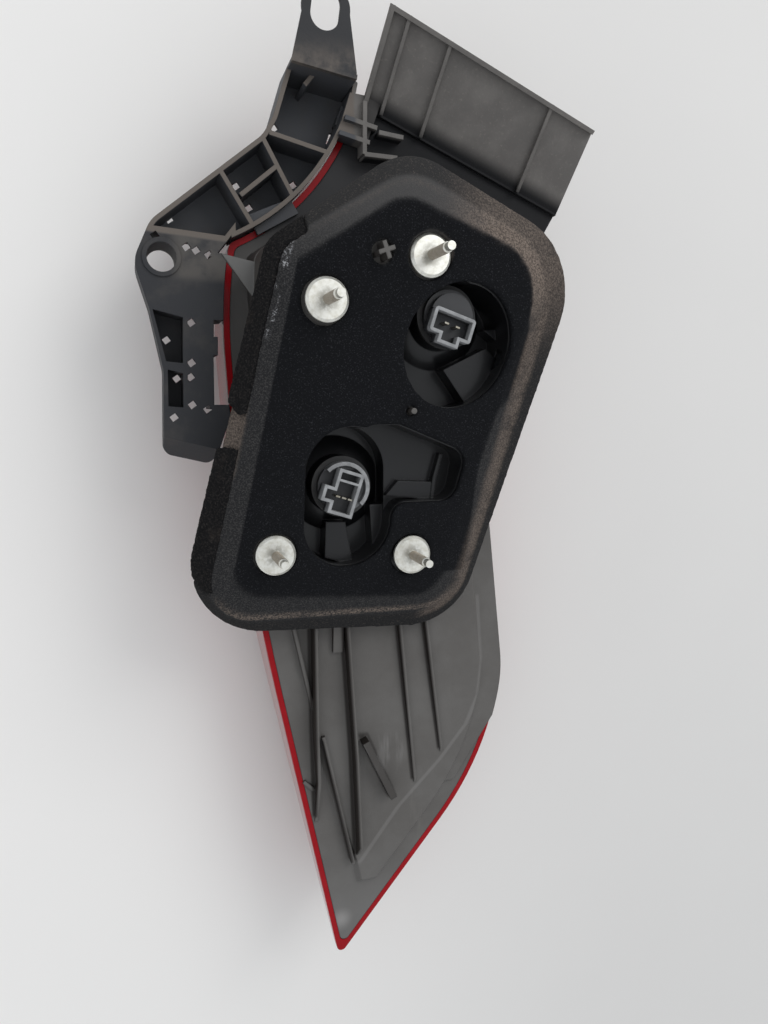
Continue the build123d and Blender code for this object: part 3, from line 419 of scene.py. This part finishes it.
def housing_shade_and_grime(paint):
    """Darker upright faces and bands beside the fins, painted shade with grime, and a darker band beside the
    hook.
    """
    grime = (1.0 - paint.facing()[2].step(0.20, 0.60)) * 0.75
    for line in FIN_SHADOW_AND_GRIME:
        grime = grime + paint.beside(*line) * 0.92
    return grime + paint.beside(*HOOK_DARK_BAND) * paint.z.step(*HOOK_FOOT) * 0.6


def housing_highlights_and_scuff(paint, streak):
    """Painted highlights on the tail's shoulder and as a glint at its tip, and pale wear beside the hook."""
    pale = paint.disc(*TIP_GLINT) * 0.6
    for line in SHOULDER_HIGHLIGHT:
        pale = pale + paint.beside(*line) * 0.18
    return pale.larger(paint.disc(*HOOK_SCUFF) * streak.step(0.45, 0.60) * 0.3)


def housing_paint():
    """Grey satin plastic with grime, scuffs, painted shade and painted highlights: painted shade beside the
    bracket, and black painted shade in the glossy wells.
    """
    paint = Paint("housing grey", Specular_IOR_Level=0.3, Coat_Roughness=0.16)
    cloud = paint.noise(28.0, 5.0, 0.6)
    streak = paint.noise(120.0, 4.0, 0.6, (1.0, 0.12, 1.0))
    well_shade_and_gloss = paint.disc(UPPER_WELL, *UPPER_WELL_EDGE).larger(paint.box(*LOWER_WELL))
    deck_shade = (1.0 - paint.z.step(*DECK_TOP)) * paint.y.step(*DECK_Y)
    deck_shade = deck_shade * (0.30 + paint.y.step(*DECK_DARKEST_Y) * 0.70)
    gusset = (1.0 - paint.x.step(*GUSSET_X)) * paint.y.step(*GUSSET_Y) * paint.z.between(*GUSSET_TOP)
    tail_end = 1.0 - paint.y.step(*TAIL_END_Y)
    colour = paint.mix(cloud.step(0.35, 0.70), HOUSING_GREY, HOUSING_PALER)
    colour = paint.mix(streak.step(0.60, 0.80) * 0.4, colour, STREAK_PALE)
    colour = paint.mix(tail_end * 0.5, colour, TAIL_END_GREY)
    # Painted shade with grime on upright faces and beside the fins
    colour = paint.mix(housing_shade_and_grime(paint), colour, SHADE_AND_GRIME_BROWN)
    # Painted highlights on the shoulder and the tip, and a scuff beside the hook
    colour = paint.mix(housing_highlights_and_scuff(paint, streak), colour, HIGHLIGHT_AND_SCUFF_PALE)
    colour = paint.mix(gusset, colour, GUSSET_GREY)
    # Painted shade on the deck beside the bracket
    colour = paint.mix(deck_shade * 0.9, colour, DECK_SHADE_BLACK)
    # The wells are painted black as painted shade, and made glossier
    paint.put("Base Color", paint.mix(well_shade_and_gloss, colour, WELL_SHADE_BLACK))
    paint.put("Coat Weight", well_shade_and_gloss * 0.25)
    paint.put("Roughness", 0.50 + cloud * 0.12 - well_shade_and_gloss * 0.20)
    paint.bump(paint.noise(900.0, 2.0), HOUSING_RELIEF, 0.5, HOUSING_EDGE_R)
    return paint


# The bracket: the line between its arm and its plate, the dust on both, the tray, and the painted shade in
# the hollow beside it
SHELF_X = -0.079
SHELF_SLOPE = 0.0767
SHELF_Y = (0.0355, 0.0370)
HEM_Y = (0.113, 0.132)
DRY_X = (-0.066, -0.058)
DRY_Y = (0.012, 0.017)
TRAY_X = (0.0285, 0.0305)
HOLLOW_SHADE_X = (0.0345, 0.0355)
HOLLOW_SHADE_TOP = (-0.0595, -0.0550)
# The arm's top edges measured from the bore's face, and the tab's underside from the eyelet's face
ARM_TOP = (-0.0006, 0.0012, 0.0004)
TAB_UNDERSIDE = (-0.0029, -0.0025)

# Bracket colours
PLATE_BLACK, ARM_BLACK = (0.028, 0.0288, 0.032), (0.066, 0.0680, 0.074)
PLATE_DUST = (0.085, 0.078, 0.071)
BRACKET_HAZE = (0.070, 0.064, 0.059)
TAB_BLACK = (0.017, 0.017, 0.018)
EDGE_DUST = (0.138, 0.116, 0.098)
TRAY_GREY, TRAY_PALER = (0.118, 0.110, 0.103), (0.152, 0.142, 0.132)
TRAY_SPECK = (0.205, 0.188, 0.166)
HOLLOW_SHADE_BLACK = (0.003, 0.003, 0.004)


def bracket_paint():
    """Black plastic with brown dust on its edges, a dusty tray and painted shade in the hollow beside the
    pad.
    """
    paint = Paint("bracket black", Specular_IOR_Level=0.3)
    cloud = paint.noise(55.0, 5.0, 0.65)
    fine = paint.noise(700.0, 3.0)
    flat = paint.facing()[2].step(0.70, 0.90)
    arm = (paint.y + (paint.x - SHELF_X) * SHELF_SLOPE).step(*SHELF_Y)
    tops = flat * (paint.z - mounts["bracket_bore"].z).between(*ARM_TOP) * arm
    tab = (paint.z - mounts["bracket_eyelet"].z).step(*TAB_UNDERSIDE)
    hem = tab * (1.0 - paint.y.step(*HEM_Y)) * cloud.step(0.30, 0.60)
    dry = (1.0 - arm) * paint.x.step(*DRY_X) * paint.y.step(*DRY_Y)
    tray = paint.x.step(*TRAY_X)
    hollow_shade = paint.x.step(*HOLLOW_SHADE_X) * (1.0 - paint.z.step(*HOLLOW_SHADE_TOP))
    colour = paint.mix(arm, PLATE_BLACK, ARM_BLACK)
    colour = paint.mix(dry * cloud.step(0.25, 0.55), colour, PLATE_DUST)
    colour = paint.mix(cloud.step(0.45, 0.75) * 0.5, colour, BRACKET_HAZE)
    colour = paint.mix(tab * 0.8, colour, TAB_BLACK)
    colour = paint.mix(tops.larger(hem) * 0.9, colour, EDGE_DUST)
    dusty = paint.mix(cloud.step(0.35, 0.70), TRAY_GREY, TRAY_PALER)
    dusty = paint.mix(fine.step(0.58, 0.74) * 0.4, dusty, TRAY_SPECK)
    # Painted shade in the hollow between the tray and the pad
    dusty = paint.mix(hollow_shade, dusty, HOLLOW_SHADE_BLACK)
    paint.put("Base Color", paint.mix(tray, colour, dusty))
    paint.put("Roughness", 0.55 + cloud * 0.15 + tray * 0.1)
    paint.bump(fine, BRACKET_RELIEF, 0.5, EDGE_R)
    return paint


# Studs, by the height above the flange's seat, with a soft line midway between the upper and the lower pair
PAIRS_SOFT = 0.001
THREAD_PITCH = 0.0008
THREAD_STRETCH = (0.0008, 0.0185, 0.0003)
# A darker ring round each thread's foot: how high it reaches and how far out
DARK_RING_HEIGHT = (0.0008, 0.0015)
DARK_RING_REACH = (0.0030, 0.0068)
ZINC, ZINC_DULL = (0.82, 0.81, 0.75), (0.64, 0.62, 0.54)
ZINC_DARKER = (0.38, 0.37, 0.33)
THREAD_BROWN = (0.25, 0.20, 0.145)


def stud_paint():
    """Zinc plate with a rolled thread between the flange and the pilot end, darker round the thread's foot.
    """
    paint = Paint("zinc plate", Metallic=1.0)
    midway = (upper_seats.y + lower_seats.y) / 2
    upper_pair = paint.y.step(midway - PAIRS_SOFT, midway + PAIRS_SOFT)
    seat = lower_seats.z * (1.0 - upper_pair)
    height = paint.z - seat
    thread = height.between(*THREAD_STRETCH)
    turns = (paint.z * (2.0 * math.pi / THREAD_PITCH)).sine()
    cloud = paint.noise(350.0, 4.0, 0.6)
    near = paint.disc(mounts[STUDS[0]], *DARK_RING_REACH)
    for name in STUDS[1:]:
        near = near.larger(paint.disc(mounts[name], *DARK_RING_REACH))
    dark_ring = near * (1.0 - height.step(*DARK_RING_HEIGHT))
    colour = paint.mix(cloud.step(0.35, 0.75), ZINC, ZINC_DULL)
    colour = paint.mix(dark_ring * cloud.step(0.25, 0.55) * 0.75, colour, ZINC_DARKER)
    paint.put("Base Color", paint.mix(thread * 0.8, colour, THREAD_BROWN))
    paint.put("Roughness", 0.36 + cloud * 0.18)
    paint.bump(turns * thread, THREAD_RELIEF)
    return paint


# Lens: the stretch below its rim where the gloss begins
LENS_GLOSS_BELOW = (-0.0720, -0.0675)
LENS_RED, LENS_PALER = (0.275, 0.0012, 0.005), (0.320, 0.0035, 0.009)


def lens_paint():
    """Red plastic: satin on the trimmed rim, glossy on the moulded outside."""
    paint = Paint("lens red", IOR=1.49, Coat_Roughness=0.05, Specular_IOR_Level=0.15)
    cloud = paint.noise(90.0, 4.0)
    outside = 1.0 - paint.z.step(*LENS_GLOSS_BELOW)
    paint.put("Base Color", paint.mix(cloud.step(0.4, 0.8), LENS_RED, LENS_PALER))
    paint.put("Coat Weight", 0.05 + outside * 0.75)
    paint.put("Roughness", 0.24 + cloud * 0.14 - outside * 0.1)
    return paint


# Plug collars: their depth, the height where each one's walls turn light, and the lower holder's flange
COLLAR_DEPTH = 0.0090
UPPER_COLLAR_LIGHT = (0.0042, 0.0056)
LOWER_COLLAR_LIGHT = (0.0018, 0.0038)
LOWER_FLANGE = (0.0146, -0.0878)
FLANGE_LEAN = 0.2
FLANGE_RIGHT = (0.0050, 0.0062)
FLANGE_TOP = (0.0082, 0.0094)
COLLAR_GREY, COLLAR_DULL = (0.31, 0.312, 0.315), (0.21, 0.212, 0.214)
COLLAR_FLOOR_DARK = (0.028, 0.028, 0.030)


def collar_paint(name, plug, light_from, flange=None):
    """Light grey plug collar that is darker down at its floor, with the flange half lighter towards its
    right and top if asked.
    """
    paint = Paint(name)
    cloud = paint.noise(260.0, 4.0, 0.6)
    height = paint.z - (mounts[plug].z - COLLAR_DEPTH)
    lighter = height.step(*light_from)
    if flange:
        across, up = paint.x - flange[0], paint.y - flange[1]
        beside = (across - up * FLANGE_LEAN).step(*FLANGE_RIGHT).larger(up.step(*FLANGE_TOP))
        lighter = lighter.larger(beside * 0.5)
    light = paint.mix(cloud.step(0.3, 0.7), COLLAR_GREY, COLLAR_DULL)
    paint.put("Base Color", paint.mix(lighter, COLLAR_FLOOR_DARK, light))
    paint.put("Roughness", 0.40 + cloud * 0.15)
    paint.bump(cloud, COLLAR_RELIEF, 0.4, EDGE_R)
    return paint


def moulded(name, colour, other, rough, **shader):
    """A plain moulded or drawn piece with a little unevenness in its colour and gloss."""
    paint = Paint(name, **shader)
    cloud = paint.noise(200.0, 4.0, 0.6)
    paint.put("Base Color", paint.mix(cloud.step(0.3, 0.7), colour, other))
    paint.put("Roughness", rough + (cloud - 0.5) * 0.2)
    return paint


pad = soft_copy("foam_gasket", PAD_VOXEL, PAD_EASE, PAD_RAGGED, PAD_GRAIN)
strips = [soft_copy(name, STRIP_VOXEL, STRIP_EASE, STRIP_RAGGED, STRIP_GRAIN)
          for name in ("foam_strip_upper", "foam_strip_lower")]
give(foam_pad_paint(), pad)
give(foam_strip_paint(), *strips)
give(housing_paint(), nodes["lamp_housing"])
give(bracket_paint(), nodes["mounting_bracket"])
give(stud_paint(), nodes["mounting_studs"])
give(lens_paint(), nodes["outer_lens"])
give(collar_paint("upper collar grey", "upper_plug", UPPER_COLLAR_LIGHT), nodes["upper_connector"])
give(collar_paint("lower holder grey", "lower_plug", LOWER_COLLAR_LIGHT, LOWER_FLANGE),
     nodes["lower_bulb_holder"])
give(moulded("reflector silver", (0.78, 0.78, 0.79), (0.70, 0.70, 0.72), 0.16, Metallic=0.9),
     nodes["reflector"])
give(moulded("holder black", (0.014, 0.014, 0.016), (0.022, 0.022, 0.023), 0.34), nodes["upper_bulb_holder"])
give(moulded("seal rubber", (0.014, 0.014, 0.014), (0.022, 0.021, 0.020), 0.60),
     nodes["upper_holder_seal"], nodes["lower_holder_seal"])
give(moulded("tinned contact", (0.42, 0.40, 0.35), (0.30, 0.27, 0.21), 0.38, Metallic=1.0),
     nodes["upper_terminals"], nodes["lower_terminals"])
give(moulded("bare wire", (0.55, 0.55, 0.55), (0.45, 0.45, 0.45), 0.34, Metallic=1.0),
     nodes["upper_filament"], nodes["lower_filament"])
give(moulded("bulb glass", (0.95, 0.96, 0.96), (0.92, 0.93, 0.93), 0.12, Transmission_Weight=0.9, IOR=1.5),
     nodes["upper_bulb"], nodes["lower_bulb"])

# Floor under the lens
FLOOR_SIZE = 1.5
FLOOR_GAP = 0.0005
# Painted light: the floor's colour grows paler towards the left
FLOOR_LIGHT_X = (-0.25, 0.30)
FLOOR_LIT_LEFT, FLOOR_DIM_RIGHT = (0.88, 0.860, 0.830), (0.66, 0.646, 0.625)


def floor_paint():
    """Matt pale floor with painted light, a little paler towards the left."""
    paint = Paint("pale floor", Roughness=0.85)
    light_and_tone = paint.x.step(*FLOOR_LIGHT_X) * 0.9 + paint.noise(9.0) * 0.1
    paint.put("Base Color", paint.mix(light_and_tone, FLOOR_LIT_LEFT, FLOOR_DIM_RIGHT))
    return paint


dressed_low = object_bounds()[0]
shape = bmesh.new()
bmesh.ops.create_grid(shape, x_segments=1, y_segments=1, size=FLOOR_SIZE)
bmesh.ops.translate(shape, verts=shape.verts, vec=(0.0, 0.0, dressed_low.z - FLOOR_GAP))
mesh = bpy.data.meshes.new("floor")
shape.to_mesh(mesh)
shape.free()
floor = bpy.data.objects.new("floor", mesh)
bpy.context.scene.collection.objects.link(floor)
give(floor_paint(), floor)

# Sky
SKY = (0.93, 0.96, 1.0)
SKY_STRENGTH = 0.84
world = bpy.data.worlds.new("sky")
bpy.context.scene.world = world
world.use_nodes = True
world.node_tree.nodes["Background"].inputs["Color"].default_value = (*SKY, 1.0)
world.node_tree.nodes["Background"].inputs["Strength"].default_value = SKY_STRENGTH

# Key light, high up on the tray's side
KEY_PLACE = Vector((0.80, 0.80, 1.00))
KEY_AIM = Vector((0.04, -0.1, -0.05))
KEY_SIZE = 0.9
KEY_POWER = 8.0
data = bpy.data.lights.new("key", "AREA")
data.size = KEY_SIZE
data.energy = KEY_POWER
key = bpy.data.objects.new("key", data)
key.location = KEY_PLACE
key.rotation_euler = (KEY_AIM - KEY_PLACE).to_track_quat("-Z", "Y").to_euler()
bpy.context.scene.collection.objects.link(key)

# Camera at the photo's angle: its axes and place were worked out from the studs
CAMERA_PLACE = (-0.085465, -0.044800, 0.333376)
CAMERA_RIGHT = (0.94820, 0.0, 0.31766)
CAMERA_UP = (0.04651, 0.98922, -0.13882)
CAMERA_BACK = (-0.31424, 0.14641, 0.93799)
CAMERA_LENS_MM = 26.367
CAMERA_SENSOR_MM = 36.0
CAMERA_NEAR = 0.01
data = bpy.data.cameras.new("camera")
data.lens = CAMERA_LENS_MM
data.sensor_width = CAMERA_SENSOR_MM
data.clip_start = CAMERA_NEAR
camera = bpy.data.objects.new("camera", data)
turn = Matrix((CAMERA_RIGHT, CAMERA_UP, CAMERA_BACK)).transposed().to_4x4()
camera.matrix_world = Matrix.Translation(CAMERA_PLACE) @ turn
bpy.context.scene.collection.objects.link(camera)
bpy.context.scene.camera = camera
bpy.context.scene.view_settings.view_transform = "Standard"
